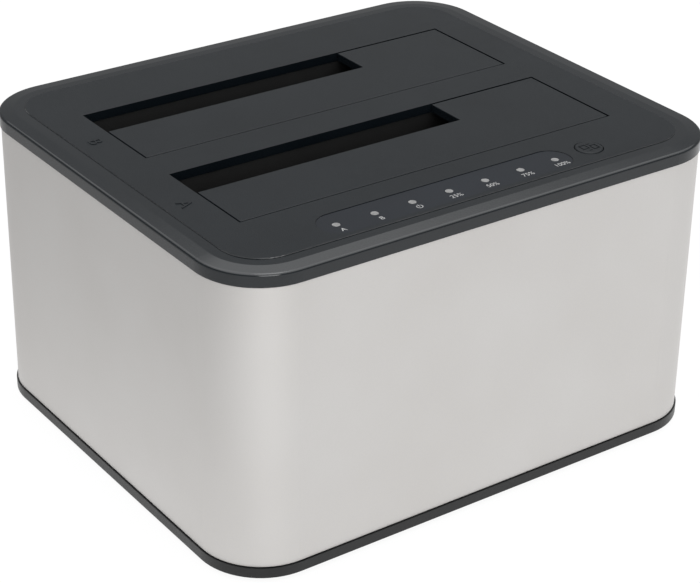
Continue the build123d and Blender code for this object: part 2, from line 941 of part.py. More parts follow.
def make_rocker():
    """Two finger faces that meet in a shallow valley, on a pair of stub axles."""
    slope = tan(radians(rocker_tilt))
    reach = 2 * rocker_radius
    wedge = Polygon(
        (rocker_skirt, -reach),
        (rocker_pivot_depth + reach * slope, -reach),
        (rocker_pivot_depth, 0),
        (rocker_pivot_depth + reach * slope, reach),
        (rocker_skirt, reach),
        align=None,
    )
    profile = (Circle(rocker_radius) & wedge) + Circle(rocker_hub_radius)
    half = rocker_width / 2
    shape = across(profile, -half, half)
    axle = switch_body_width / 2 - rocker_axle_inset
    shape += across(Circle(rocker_pivot_radius), -axle, axle)
    return Pos(switch_x, pivot_y, pivot_z) * Rot(rocker_tilt, 0, 0) * shape


def terminal_levels():
    """The heights of the switch's two terminals."""
    return [pivot_z - terminal_spacing / 2, pivot_z + terminal_spacing / 2]


def make_switch_terminals():
    root = shell_back - switch_body_depth
    blades = [
        block(
            switch_x - terminal_width / 2,
            switch_x + terminal_width / 2,
            root - terminal_length,
            root,
            z - terminal_thickness / 2,
            z + terminal_thickness / 2,
        )
        for z in terminal_levels()
    ]
    return Compound(blades)


def make_switch_leads():
    """Two insulated wires from the terminals down to the main board."""
    start = shell_back - switch_body_depth - terminal_length
    leads = []
    for side, z in zip((-1, 1), terminal_levels()):
        x = switch_x + side * lead_spacing / 2
        route = FilletPolyline(
            (x, start, z), (x, start - lead_setback, z), (x, start - lead_setback, board_top),
            radius=lead_bend,
        )
        section = Plane(origin=route @ 0, z_dir=route % 0) * Circle(lead_radius)
        leads.append(sweep(section, path=route).solid())
    return Compound(leads)


def make_indicator_board():
    plan = rect(
        indicator_post_xs[0] - indicator_board_end,
        indicator_post_xs[1] + indicator_board_end,
        indicator_board_y - indicator_board_depth / 2,
        indicator_board_y + indicator_board_depth / 2,
    )
    for x in indicator_post_xs:
        plan -= Pos(x, indicator_board_y) * Circle(small_screw_radius + board_hole_gap)
    return slab(plan, indicator_board_bottom, indicator_board_top)


def make_leds():
    lens = [
        block(
            x - led_length / 2,
            x + led_length / 2,
            indicator_y - led_width / 2,
            indicator_y + led_width / 2,
            indicator_board_top,
            indicator_board_top + led_height,
        )
        for x in indicator_xs
    ]
    return Compound(lens)


def make_light_guide():
    """One clear moulding: a bar under the cover with a tip and a leg at each light."""
    shape = block(
        indicator_xs[0] - guide_bar_reach,
        indicator_xs[-1] + guide_bar_reach,
        indicator_y - guide_bar_width / 2,
        indicator_y + guide_bar_width / 2,
        plate_under - guide_bar_height,
        plate_under,
    )
    tip_top = top - strip_recess + overlay_thickness
    foot = indicator_board_top + led_height + guide_led_gap
    for x in indicator_xs:
        shape += rod(x, indicator_y, plate_under, tip_top, guide_tip_radius)
        shape += rod(x, indicator_y, foot, plate_under - guide_bar_height, guide_leg_radius)
    return shape


def make_overlay():
    plan = strip_outline(overlay_gap)
    for x in indicator_xs:
        plan -= Pos(x, indicator_y) * Circle(guide_tip_radius + guide_hole_gap)
    floor = top - strip_recess
    return slab(plan, floor, floor + overlay_thickness)


def plunger_top():
    """The level of the clone switch's plunger at rest."""
    return indicator_board_top + switch_case_height + plunger_rise


def make_clone_button():
    skirt_top = plate_under - button_skirt_gap
    cap = rod(button_x, button_y, skirt_top, top + button_proud, button_radius)
    shape = fillet(top_edges(cap), button_edge_radius)
    shape += rod(button_x, button_y, skirt_top - button_skirt_height, skirt_top, button_skirt_radius)
    stem_low = plunger_top() + plunger_gap
    return shape + rod(button_x, button_y, stem_low, skirt_top, button_stem_radius)


def make_switch_case():
    half = switch_case_side / 2
    case_top = indicator_board_top + switch_case_height
    shape = block(
        button_x - half, button_x + half, button_y - half, button_y + half,
        indicator_board_top, case_top,
    )
    shape = chamfer(shape.edges().filter_by(Axis.Z), switch_case_corner)
    well = case_top - plunger_depth - button_travel - plunger_gap
    return shape - rod(button_x, button_y, well, case_top, plunger_radius + plunger_gap)


def make_plunger():
    low = indicator_board_top + switch_case_height - plunger_depth
    pin = rod(button_x, button_y, low, plunger_top(), plunger_radius)
    return chamfer(top_edges(pin), plunger_chamfer)


def make_ribbon():
    low = (front + ribbon_low_setback, board_top + header_height - header_slot_depth)
    high_z = indicator_board_bottom - header_height + header_slot_depth
    high = (front + ribbon_high_setback, high_z)
    run = (high[1] - low[1]) / 3
    route = FilletPolyline(
        (ribbon_x, *low),
        (ribbon_x, low[0], low[1] + run),
        (ribbon_x, high[0], high[1] - run),
        (ribbon_x, *high),
        radius=ribbon_bend,
    )
    section = Plane(origin=route @ 0, x_dir=(1, 0, 0), z_dir=route % 0) * Rectangle(
        ribbon_width, ribbon_thickness
    )
    return sweep(section, path=route)


def make_ribbon_header(y, low, slot_low):
    """A low socket that the ribbon's end slides into."""
    shape = Pos(ribbon_x, y) * Rectangle(header_length, header_depth)
    slot = Pos(ribbon_x, y) * Rectangle(
        ribbon_width + 2 * header_slot_gap, ribbon_thickness + 2 * header_slot_gap
    )
    return slab(shape, low, low + header_height) - slab(slot, slot_low, slot_low + header_slot_depth)


def make_ribbon_headers():
    lower_top = board_top + header_height
    upper_low = indicator_board_bottom - header_height
    return Compound(
        [
            make_ribbon_header(front + ribbon_low_setback, board_top, lower_top - header_slot_depth),
            make_ribbon_header(front + ribbon_high_setback, upper_low, upper_low),
        ]
    )


def make_bridge_chip():
    x, y = chip_place[0], front + chip_place[1]
    body = Pos(x, y) * Rectangle(chip_side, chip_side)
    shape = slab(body, board_top + chip_standoff, board_top + chip_height)
    shape = chamfer(top_edges(shape), chip_chamfer)
    reach = chip_side / 2 + chip_lead_reach
    for i in range(chip_leads):
        step = (i - (chip_leads - 1) / 2) * chip_lead_pitch
        half = chip_lead_width / 2
        low, high = board_top, board_top + chip_standoff + chip_lead_width
        shape += block(x - reach, x + reach, y + step - half, y + step + half, low, high)
        shape += block(x + step - half, x + step + half, y - reach, y + reach, low, high)
    return shape


def make_power_chips():
    parts = []
    for inset, setback in small_chip_places:
        place = Pos(board_width / 2 - inset, front + setback)
        body = place * Rectangle(small_chip_length, small_chip_width)
        shape = slab(body, board_top, board_top + chip_height)
        parts.append(chamfer(top_edges(shape), chip_chamfer))
    return Compound(parts)


def make_power_coils():
    parts = []
    for inset, setback in coil_places:
        place = Pos(board_width / 2 - inset, front + setback)
        body = place * RectangleRounded(coil_side, coil_side, coil_corner)
        shape = slab(body, board_top, board_top + coil_height)
        parts.append(fillet(top_edges(shape), coil_edge_radius))
    return Compound(parts)


def make_capacitors():
    parts = []
    can_low = board_top + capacitor_base
    for x in capacitor_xs:
        base = Pos(x, capacitor_y) * Rectangle(2 * capacitor_base_half, 2 * capacitor_base_half)
        can = rod(x, capacitor_y, can_low, board_top + capacitor_height, capacitor_radius)
        can = fillet(top_edges(can), capacitor_edge_radius)
        parts.append(slab(base, board_top, can_low) + can)
    return Compound(parts)


def make_crystal():
    plan = Pos(crystal_place[0], front + crystal_place[1]) * SlotOverall(
        crystal_length, crystal_width
    )
    shape = slab(plan, board_top, board_top + crystal_height)
    return fillet(top_edges(shape), crystal_edge_radius)


def make_case_screws():
    level = foot_top + head_height + shank_gap
    return Compound(
        [screw(x, y, level, case_screw_radius, case_screw_length) for x, y in leg_places]
    )


def make_board_screws():
    length = board_screw_length
    return Compound(
        [screw(x, y, board_top, small_screw_radius, length, False) for x, y in board_holes]
    )


def make_frame_screws():
    level = top - tab_drop - tab_thickness
    length = frame_screw_length
    return Compound([screw(x, y, level, small_screw_radius, length) for x, y in tab_places])


def make_indicator_screws():
    y, level = indicator_board_y, indicator_board_bottom
    length = indicator_screw_length
    return Compound([screw(x, y, level, small_screw_radius, length) for x in indicator_post_xs])


pieces = {
    "top_cover": make_top_cover(),
    "outer_shell": make_outer_shell(),
    "base_tray": make_base_tray(),
    "drive_frame": make_drive_frame(),
    "main_board": make_main_board(),
    "usb_shell": make_usb_shell(),
    "usb_insulator": make_usb_insulator(),
    "jack_housing": make_jack_housing(),
    "jack_pin": make_jack_pin(),
    "power_switch_housing": make_switch_housing(),
    "power_rocker": make_rocker(),
    "power_switch_terminals": make_switch_terminals(),
    "power_switch_leads": make_switch_leads(),
    "bridge_chip": make_bridge_chip(),
    "power_chips": make_power_chips(),
    "power_coils": make_power_coils(),
    "capacitors": make_capacitors(),
    "crystal": make_crystal(),
    "indicator_board": make_indicator_board(),
    "indicator_leds": make_leds(),
    "light_guide": make_light_guide(),
    "indicator_overlay": make_overlay(),
    "clone_button": make_clone_button(),
    "clone_switch_case": make_switch_case(),
    "clone_switch_plunger": make_plunger(),
    "ribbon_cable": make_ribbon(),
    "ribbon_headers": make_ribbon_headers(),
    "case_screws": make_case_screws(),
    "board_screws": make_board_screws(),
    "frame_screws": make_frame_screws(),
    "indicator_screws": make_indicator_screws(),
}
for name, bay_front in zip(bay_names, bay_fronts):
    pieces[f"{name}_flap"] = make_flap(bay_front)
    pieces[f"{name}_flap_pin"] = make_flap_pin(bay_front)
    pieces[f"{name}_flap_spring"] = make_flap_spring(bay_front)
    pieces[f"{name}_drive_socket"] = make_drive_socket(bay_front)
    pieces[f"{name}_drive_contacts"] = make_drive_contacts(bay_front)
foot_names = ["front_left_foot", "front_right_foot", "rear_left_foot", "rear_right_foot"]
for name, (x, y) in zip(foot_names, leg_places):
    pieces[name] = make_foot(x, y)

for name, shape in pieces.items():
    export_step(shape, f"parts/{name}.step")
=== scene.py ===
"""A hard drive dock with two bays, on a plain white floor under soft studio light."""
import json
from math import cos, pi, radians, sin, tau

import bmesh
import bpy
from mathutils import Matrix, Vector


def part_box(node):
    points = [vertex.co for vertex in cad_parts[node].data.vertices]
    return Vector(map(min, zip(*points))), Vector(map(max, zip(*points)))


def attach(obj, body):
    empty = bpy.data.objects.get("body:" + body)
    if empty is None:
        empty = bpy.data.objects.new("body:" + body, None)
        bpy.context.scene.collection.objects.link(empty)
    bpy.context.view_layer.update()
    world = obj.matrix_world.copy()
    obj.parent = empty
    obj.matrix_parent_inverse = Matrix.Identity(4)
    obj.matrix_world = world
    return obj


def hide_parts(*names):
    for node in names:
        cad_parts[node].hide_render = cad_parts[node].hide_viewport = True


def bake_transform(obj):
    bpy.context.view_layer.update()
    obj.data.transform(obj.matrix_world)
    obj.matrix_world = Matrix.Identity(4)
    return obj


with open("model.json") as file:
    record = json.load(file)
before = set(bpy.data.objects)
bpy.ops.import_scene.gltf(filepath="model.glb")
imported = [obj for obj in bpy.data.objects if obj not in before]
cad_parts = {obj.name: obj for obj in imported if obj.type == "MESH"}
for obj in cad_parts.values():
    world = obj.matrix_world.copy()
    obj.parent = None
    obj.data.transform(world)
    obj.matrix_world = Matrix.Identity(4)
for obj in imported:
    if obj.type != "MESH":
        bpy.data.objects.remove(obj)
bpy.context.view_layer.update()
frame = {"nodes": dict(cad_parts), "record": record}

# Sizes are in metres: X runs left to right along the front, Y front to back, Z up
MM = 0.001
field_rise = 0.25 * MM
field_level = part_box("front_flap")[1].z
border_level = field_level - field_rise

# Camera, as the photograph was taken: places in millimetres, angles in degrees
picture_width = 700
focal_pixels = 2127.9
sensor_width = 36.0
camera_place = Vector((-266.61, -376.56, 274.26)) * MM
camera_turn, camera_dip, camera_roll = 35.522, 27.976, -0.855

# Brightness of the room, and the elevations in degrees between which it changes
left_wall_light = 0.25
right_wall_light = 0.35
ceiling_light = 1.35
zenith_light = 2.6
ceiling_from, ceiling_to = 30.5, 34.5
zenith_from, zenith_to = 42, 55

# Lamps: place and size in metres, power in watts
lamp_target = (0, 0, 0.05)
lamps = {
    "overhead_softbox": ((0.1, -0.1, 1.3), 0.5, 3),
    "front_softbox": ((-0.5, -1.3, 0.5), 0.7, 7),
}

# Depth that printed ink stands above its surface
print_depth = 0.02 * MM


def show(item):
    """Adds an object to the scene."""
    bpy.context.scene.collection.objects.link(item)
    return item


def make_camera():
    """The camera looks down over the front left corner, towards the back right."""
    turn, dip, roll = radians(camera_turn), radians(camera_dip), radians(camera_roll)
    ahead = Vector((cos(dip) * sin(turn), cos(dip) * cos(turn), -sin(dip)))
    right = Vector((cos(turn), -sin(turn), 0))
    down = ahead.cross(right)
    x_axis = cos(roll) * right + sin(roll) * down
    y_axis = sin(roll) * right - cos(roll) * down
    data = bpy.data.cameras.new("camera")
    data.sensor_width = sensor_width
    data.lens = focal_pixels / picture_width * sensor_width
    camera = show(bpy.data.objects.new("camera", data))
    place = Matrix((x_axis, y_axis, -ahead)).transposed().to_4x4()
    place.translation = camera_place
    camera.matrix_world = place
    bpy.context.scene.camera = camera


def add_node(tree, kind, inputs=None, **settings):
    """Adds a shader node, sets its properties, and joins or sets its inputs."""
    node = tree.nodes.new("ShaderNode" + kind)
    for key, value in settings.items():
        setattr(node, key, value)
    for key, value in (inputs or {}).items():
        if isinstance(value, bpy.types.NodeSocket):
            tree.links.new(value, node.inputs[key])
        else:
            node.inputs[key].default_value = value
    return node


class Finish:
    """A material with one Principled shader, and short calls that add nodes to it."""

    def __init__(self, name, colour, roughness, **sockets):
        self.material = bpy.data.materials.new(name)
        self.material.use_nodes = True
        self.tree = self.material.node_tree
        self.shader = self.tree.nodes["Principled BSDF"]
        self.output = self.tree.nodes["Material Output"]
        self.shader.inputs["Base Color"].default_value = (*colour, 1)
        self.shader.inputs["Roughness"].default_value = roughness
        for socket, value in sockets.items():
            self.shader.inputs[socket.replace("_", " ")].default_value = value

    def add(self, kind, inputs=None, **settings):
        """Adds a node to this material."""
        return add_node(self.tree, kind, inputs, **settings)

    def math(self, operation, a, b=0.0, c=0.0):
        """The output of a Math node."""
        return self.add("Math", {0: a, 1: b, 2: c}, operation=operation).outputs[0]

    def drive(self, socket, value):
        """Joins an output to one of the shader's sockets."""
        self.tree.links.new(value, self.shader.inputs[socket])

    def place(self):
        """The object's own coordinates."""
        return self.add("TexCoord").outputs["Object"]

    def noise(self, size, detail=2.0, roughness=0.5):
        """Noise whose features are about this many metres across."""
        node = self.add(
            "TexNoise",
            {"Vector": self.place(), "Scale": 1 / size, "Detail": detail, "Roughness": roughness},
        )
        return node.outputs["Fac"]

    def spread(self, value, low_value, high_value, low_out, high_out):
        """Maps a range of values onto another, and holds it at both ends."""
        inputs = {0: value, 1: low_value, 2: high_value, 3: low_out, 4: high_out}
        return self.add("MapRange", inputs).outputs[0]

    def ramp(self, value, stops):
        """A colour ramp from (place, colour) pairs."""
        node = self.add("ValToRGB", {0: value})
        elements = node.color_ramp.elements
        elements[0].position, elements[-1].position = stops[0][0], stops[-1][0]
        elements[0].color, elements[-1].color = (*stops[0][1], 1), (*stops[-1][1], 1)
        for place, colour in stops[1:-1]:
            elements.new(place).color = (*colour, 1)
        return node.outputs[0]

    def bump(self, height, depth):
        """Joins a bump of this depth in metres to the shader."""
        self.drive("Normal", self.add("Bump", {"Height": height, "Distance": depth}).outputs[0])


def grey(value, warmth=0.0):
    """A near-neutral colour, a little warmer or cooler."""
    return (value * (1 + warmth), value, value * (1 - warmth))


def shaded(colour, share):
    """A share of a colour's brightness."""
    return tuple(c * share for c in colour)


def moulded(name, colour, roughness, grain, depth, variation=0.12, sheen=0.5):
    """Moulded plastic: a fine spark-eroded grain, with faint variation in colour and gloss."""
    f = Finish(name, colour, roughness, Specular_IOR_Level=sheen)
    grain_noise = f.noise(grain, 3.0, 0.6)
    cloud = f.noise(18 * MM, 2.0)
    tint = [(0.3, shaded(colour, 1 - variation)), (0.7, shaded(colour, 1 + variation))]
    f.drive("Base Color", f.ramp(cloud, tint))
    f.drive("Roughness", f.spread(grain_noise, 0.3, 0.7, roughness - 0.05, roughness + 0.05))
    f.bump(grain_noise, depth)
    return f.material


def cover_plastic():
    """The cover's black plastic: a fine matt grain on the raised field, satin on the border, and a painted
    highlight on the step between them.
    """
    f = Finish("cover_plastic_finish", grey(0.012), 0.4, Specular_IOR_Level=0.5)
    x, y, level = f.add("SeparateXYZ", {0: f.place()}).outputs
    matt = f.spread(level, border_level + 0.08 * MM, field_level - 0.05 * MM, 0.0, 1.0)
    grain = f.noise(0.32 * MM, 3.0, 0.65)
    cloud = f.noise(14 * MM, 3.0)
    # Painted highlight: the step round the field is painted paler, most of all half way up, and the bays'
    # edges aren't
    rim_x, rim_y = 56 * MM, 42 * MM
    rise = f.spread(level, border_level + 0.02 * MM, field_level - 0.02 * MM, 0.0, 1.0)
    painted_highlight_profile = f.math("MULTIPLY", rise, f.math("MULTIPLY_ADD", rise, -4.0, 4.0))
    at_side = f.math("GREATER_THAN", f.math("ABSOLUTE", x), rim_x)
    at_end = f.math("GREATER_THAN", f.math("ABSOLUTE", y), rim_y)
    # edge is where the highlight is painted, and pale below is the painted highlight's grey
    edge = f.math("MULTIPLY", painted_highlight_profile, f.math("MAXIMUM", at_side, at_end))
    dark, mid, pale = grey(0.005, -0.34), grey(0.0065, -0.3), grey(0.12)
    tint = f.ramp(f.math("MAXIMUM", cloud, edge), [(0.3, dark), (0.7, mid), (0.8, mid), (1.0, pale)])
    f.drive("Base Color", tint)
    gloss = f.spread(matt, 0.0, 1.0, 0.12, 0.3)
    f.drive("Specular IOR Level", f.spread(matt, 0.0, 1.0, 0.5, 0.18))
    f.drive("Roughness", f.math("MULTIPLY_ADD", f.math("SUBTRACT", grain, 0.5), 0.12, gloss))
    f.bump(f.math("MULTIPLY", grain, f.spread(matt, 0.0, 1.0, 0.08, 1.0)), 0.05 * MM)
    return f.material


def shell_aluminium():
    """Blasted and anodised aluminium: a very fine sparkle over a soft sheen."""
    f = Finish("shell_aluminium_finish", grey(0.68, 0.02), 0.5, Metallic=1.0)
    grain = f.noise(0.22 * MM, 3.0, 0.7)
    cloud = f.noise(30 * MM, 2.0)
    f.drive("Base Color", f.ramp(cloud, [(0.3, grey(0.615, 0.025)), (0.7, grey(0.64, 0.02))]))
    f.drive("Roughness", f.spread(grain, 0.25, 0.75, 0.46, 0.58))
    f.bump(grain, 0.02 * MM)
    return f.material


def bare_metal(name, colour, roughness):
    """Plated or drawn metal with fine lines and slight stains."""
    f = Finish(name, colour, roughness, Metallic=1.0)
    fine = f.noise(0.25 * MM, 4.0, 0.7)
    cloud = f.noise(3 * MM, 3.0)
    f.drive("Base Color", f.ramp(cloud, [(0.3, shaded(colour, 0.86)), (0.7, colour)]))
    f.drive("Roughness", f.spread(fine, 0.3, 0.7, roughness - 0.07, roughness + 0.1))
    f.bump(fine, 0.006 * MM)
    return f.material


def circuit_board():
    """Green solder resist over copper tracks that show as slightly lighter lines."""
    f = Finish("circuit_board_finish", (0.01, 0.08, 0.035), 0.3)
    tracks_per_metre = 450
    flat = (tracks_per_metre, tracks_per_metre, 0)
    place = f.add("Mapping", {"Vector": f.place(), "Scale": flat}).outputs[0]
    tracks = f.add("TexVoronoi", {"Vector": place, "Scale": 1.0, "Randomness": 0.75},
                   feature="DISTANCE_TO_EDGE", distance="CHEBYCHEV").outputs["Distance"]
    tint = f.ramp(tracks, [(0.05, (0.02, 0.13, 0.055)), (0.11, (0.008, 0.062, 0.028))])
    f.drive("Base Color", tint)
    f.drive("Roughness", f.spread(f.noise(2 * MM), 0.3, 0.7, 0.24, 0.36))
    f.bump(f.spread(tracks, 0.05, 0.11, 1.0, 0.0), 0.03 * MM)
    return f.material


def clear_plastic():
    """The light guide: frosted clear plastic."""
    f = Finish("clear_plastic_finish", grey(0.75), 0.45, Transmission_Weight=0.3, IOR=1.49)
    cloud = f.noise(1.2 * MM)
    f.drive("Base Color", f.ramp(cloud, [(0.3, grey(0.2)), (0.7, grey(0.25))]))
    f.drive("Roughness", f.spread(cloud, 0.3, 0.7, 0.4, 0.55))
    return f.material


def soft_rubber():
    """Black rubber with a fine skin."""
    f = Finish("foot_rubber_finish", grey(0.015), 0.75)
    grain = f.noise(0.4 * MM, 4.0, 0.7)
    f.drive("Base Color", f.ramp(grain, [(0.3, grey(0.011)), (0.7, grey(0.022))]))
    f.bump(grain, 0.06 * MM)
    return f.material


def print_ink():
    """Silk-screened pale grey ink with slightly uneven cover."""
    f = Finish("print_ink_finish", grey(0.3), 0.6)
    cover = f.noise(0.3 * MM, 3.0)
    f.drive("Base Color", f.ramp(cover, [(0.3, grey(0.2)), (0.6, grey(0.3))]))
    return f.material


def make_finishes():
    """One material for each of the record's slots."""
    film_blue = (0.0045, 0.0065, 0.01)
    lead_red = (0.35, 0.012, 0.01)
    base_black = grey(0.008, -0.05)
    return {
        "cover_plastic": cover_plastic(),
        "shell_aluminium": shell_aluminium(),
        "base_plastic": moulded("base_plastic_finish", base_black, 0.35, 0.35 * MM, 0.04 * MM, sheen=0.38),
        "inner_plastic": moulded("inner_plastic_finish", grey(0.010), 0.55, 0.4 * MM, 0.05 * MM),
        "foot_rubber": soft_rubber(),
        "steel": bare_metal("steel_finish", grey(0.55), 0.3),
        "screw_steel": bare_metal("screw_steel_finish", grey(0.35, 0.02), 0.36),
        "circuit_board": circuit_board(),
        "socket_plastic": moulded("socket_plastic_finish", grey(0.02), 0.45, 0.3 * MM, 0.02 * MM),
        "contact_gold": bare_metal("contact_gold_finish", (0.85, 0.6, 0.25), 0.25),
        "socket_steel": bare_metal("socket_steel_finish", grey(0.62), 0.28),
        "usb_plastic": moulded("usb_plastic_finish", grey(0.6, 0.03), 0.4, 0.4 * MM, 0.02 * MM, 0.04),
        "chip_plastic": moulded("chip_plastic_finish", grey(0.018), 0.6, 0.2 * MM, 0.03 * MM),
        "coil_ferrite": moulded("coil_ferrite_finish", grey(0.06), 0.65, 0.5 * MM, 0.05 * MM),
        "capacitor_can": bare_metal("capacitor_can_finish", grey(0.7), 0.22),
        "lead_insulation": moulded("lead_insulation_finish", lead_red, 0.4, 0.5 * MM, 0.01 * MM),
        "ribbon_film": moulded("ribbon_film_finish", grey(0.55, 0.04), 0.4, 0.8 * MM, 0.01 * MM, 0.05),
        "header_plastic": moulded("header_plastic_finish", grey(0.5, 0.08), 0.5, 0.3 * MM, 0.02 * MM, 0.05),
        "clear_plastic": clear_plastic(),
        "overlay_film": moulded("overlay_film_finish", film_blue, 0.32, 0.25 * MM, 0.02 * MM, sheen=0.2),
        "led_lens": moulded("led_lens_finish", grey(0.6, 0.05), 0.35, 0.3 * MM, 0.01 * MM, 0.05),
    }


def dress_nodes(finishes):
    """Gives every CAD node the finish of its slot."""
    for row in frame["record"]["subparts"]:
        node = frame["nodes"][row["node"]]
        for slot in node.material_slots:
            slot.material = finishes[row["material_slot"]]


def add_piece(name, mesh, body, finish):
    """Puts a mesh in the scene as a piece that rides on a body."""
    piece = show(bpy.data.objects.new(name, mesh))
    mesh.materials.clear()
    mesh.materials.append(finish)
    if body is not None:
        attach(piece, body)
    return piece


def tube_mesh(name, points, radius, sides=10):
    """A round wire along a path, with flat ends."""
    bm = bmesh.new()
    side = Vector((1, 0, 0))
    rings = []
    for i, point in enumerate(points):
        along = (points[min(i + 1, len(points) - 1)] - points[max(i - 1, 0)]).normalized()
        side = (side - side.dot(along) * along).normalized()
        up = along.cross(side)
        turns = [tau * k / sides for k in range(sides)]
        rings.append([bm.verts.new(point + radius * (cos(a) * side + sin(a) * up)) for a in turns])
    for low_ring, high_ring in zip(rings, rings[1:]):
        for k in range(sides):
            corners = (low_ring[k], low_ring[k - 1], high_ring[k - 1], high_ring[k])
            bm.faces.new(corners).smooth = True
    bm.faces.new(rings[0])
    bm.faces.new(reversed(rings[-1]))
    bmesh.ops.recalc_face_normals(bm, faces=bm.faces)
    mesh = bpy.data.meshes.new(name)
    bm.to_mesh(mesh)
    bm.free()
    return mesh


def make_flap_spring(name, finish):
    """The torsion spring, fixed in place: a leg reaching back along the flap, a coil round its pin, a tail
    down to the frame.
    """
    lowest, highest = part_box(f"{name}_flap_pin")
    axis = Vector((0, (lowest.y + highest.y) / 2, (lowest.z + highest.z) / 2))
    coil_radius, wire_radius, pitch, turns = 1.2 * MM, 0.3 * MM, 1.1 * MM, 5.25
    leg_length, leg_rise, leg_steps = 8.5 * MM, radians(3), 8
    tail_length, tail_splay, tail_steps = 4.0 * MM, radians(6), 4
    steps_per_turn = 28
    half = pitch * turns / 2
    start = axis + Vector((-half, 0, coil_radius))
    end = axis + Vector((half, -coil_radius, 0))
    leg = Vector((0, cos(leg_rise), sin(leg_rise)))
    tail = Vector((0, -sin(tail_splay), -cos(tail_splay)))
    points = [start + leg * leg_length * (1 - i / leg_steps) for i in range(leg_steps)]
    steps = round(turns * steps_per_turn)
    for i in range(steps + 1):
        turn = tau * turns * i / steps
        round_axis = Vector((0, -sin(turn), cos(turn))) * coil_radius
        points.append(axis + Vector((-half + 2 * half * i / steps, 0, 0)) + round_axis)
    points += [end + tail * tail_length * (i + 1) / tail_steps for i in range(tail_steps)]
    mesh = tube_mesh(f"{name}_flap_spring_wire", points, wire_radius)
    spring = add_piece(f"{name}_flap_spring_wire", mesh, None, finish)
    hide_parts(f"{name}_flap_spring")
    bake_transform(spring)


def letters_mesh(name, words, height, depth):
    """Raised letters, centred on the origin in plan and standing on it."""
    curve = bpy.data.curves.new(name, "FONT")
    curve.body = words
    curve.align_x, curve.align_y = "CENTER", "CENTER"
    curve.resolution_u = 6
    curve.extrude = 1.0
    source = bpy.data.objects.new(name, curve)
    mesh = bpy.data.meshes.new_from_object(source)
    bpy.data.objects.remove(source)
    xs, ys = [v.co.x for v in mesh.vertices], [v.co.y for v in mesh.vertices]
    scale = height / (max(ys) - min(ys))
    centre = Vector(((max(xs) + min(xs)) / 2, (max(ys) + min(ys)) / 2, -1.0))
    mesh.transform(Matrix.Diagonal((scale, scale, depth / 2, 1)) @ Matrix.Translation(-centre))
    return mesh


def strokes_mesh(name, strokes, width, depth):
    """Raised strokes of one width along lists of points, standing on the origin's plane."""
    bm = bmesh.new()
    for points in strokes:
        closed = points[0] == points[-1]
        line = [Vector(p) for p in (points[:-1] if closed else points)]
        count = len(line)
        rows = []
        for i, point in enumerate(line):
            before = line[i - 1] if closed or i > 0 else point
            after = line[(i + 1) % count] if closed or i < count - 1 else point
            sides = [(b - a).normalized() for a, b in ((before, point), (point, after)) if a != b]
            normals = [Vector((-s.y, s.x)) for s in sides]
            mitre = sum(normals, Vector((0, 0))).normalized()
            reach = width / 2 / mitre.dot(normals[0])
            ends = [point + mitre * reach, point - mitre * reach]
            rows.append([bm.verts.new((*p, z)) for z in (0, depth) for p in ends])
        pairs = list(zip(rows, rows[1:] + rows[:1] if closed else rows[1:]))
        for (a, b, c, d), (e, f, g, h) in pairs:
            for corners in ((a, b, f, e), (c, g, h, d), (a, e, g, c), (b, d, h, f)):
                bm.faces.new(corners)
        if not closed:
            for a, b, c, d in (rows[0], rows[-1]):
                bm.faces.new((a, b, d, c))
    bmesh.ops.recalc_face_normals(bm, faces=bm.faces)
    mesh = bpy.data.meshes.new(name)
    bm.to_mesh(mesh)
    bm.free()
    return mesh


def arc(radius, first, last, steps=28):
    """Points round the origin between two angles in degrees, anticlockwise from +X."""
    angles = [radians(first + (last - first) * i / steps) for i in range(steps + 1)]
    return [(radius * cos(a), radius * sin(a)) for a in angles]


def lay(mesh, place, turn=0.0):
    """Turns a mesh about Z by some degrees and puts its origin at a place."""
    mesh.transform(Matrix.Translation(place) @ Matrix.Rotation(radians(turn), 4, "Z"))
    return mesh


def light_places():
    """The middles of the seven lights in plan, from the light guide's ends."""
    lowest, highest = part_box("light_guide")
    reach, count = 1.6 * MM, 7
    first, last = lowest.x + reach, highest.x - reach
    middle = (lowest.y + highest.y) / 2
    return [(first + (last - first) * i / (count - 1), middle) for i in range(count)]


def make_strip_marks(ink):
    """The printed marks in front of the seven lights."""
    film_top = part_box("indicator_overlay")[1].z
    mark_height, label_gap = 1.35 * MM, 2.7 * MM
    ring, bar, stroke = 0.7 * MM, 0.945 * MM, 0.18 * MM
    open_ring = arc(ring, 122, 418)
    power = strokes_mesh("mark_power", [open_ring, [(0, 0), (0, bar)]], stroke, print_depth)
    marks = {
        "mark_bay_a": letters_mesh("mark_bay_a", "A", mark_height, print_depth),
        "mark_bay_b": letters_mesh("mark_bay_b", "B", mark_height, print_depth),
        "mark_power": power,
    }
    for share in (25, 50, 75, 100):
        name = f"mark_share_{share}"
        marks[name] = letters_mesh(name, f"{share}%", mark_height, print_depth)
    for (x, y), (name, mesh) in zip(light_places(), marks.items()):
        lay(mesh, Vector((x, y - label_gap, film_top)))
        add_piece(name, mesh, "dock", ink)


def make_bay_letters(finish):
    """The raised letters left of the bays, read from the left side."""
    letter_height, proud = 3.2 * MM, 0.12 * MM
    side_inset, back_inset = 11.25 * MM, 14.6 * MM
    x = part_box("top_cover")[0].x + side_inset
    for flap, letter in (("front_flap", "A"), ("rear_flap", "B")):
        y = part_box(flap)[1].y - back_inset
        name = f"raised_letter_{letter.lower()}"
        mesh = letters_mesh(name, letter, letter_height, proud)
        lay(mesh, Vector((x, y, field_level)), -90)
        add_piece(name, mesh, "dock", finish)


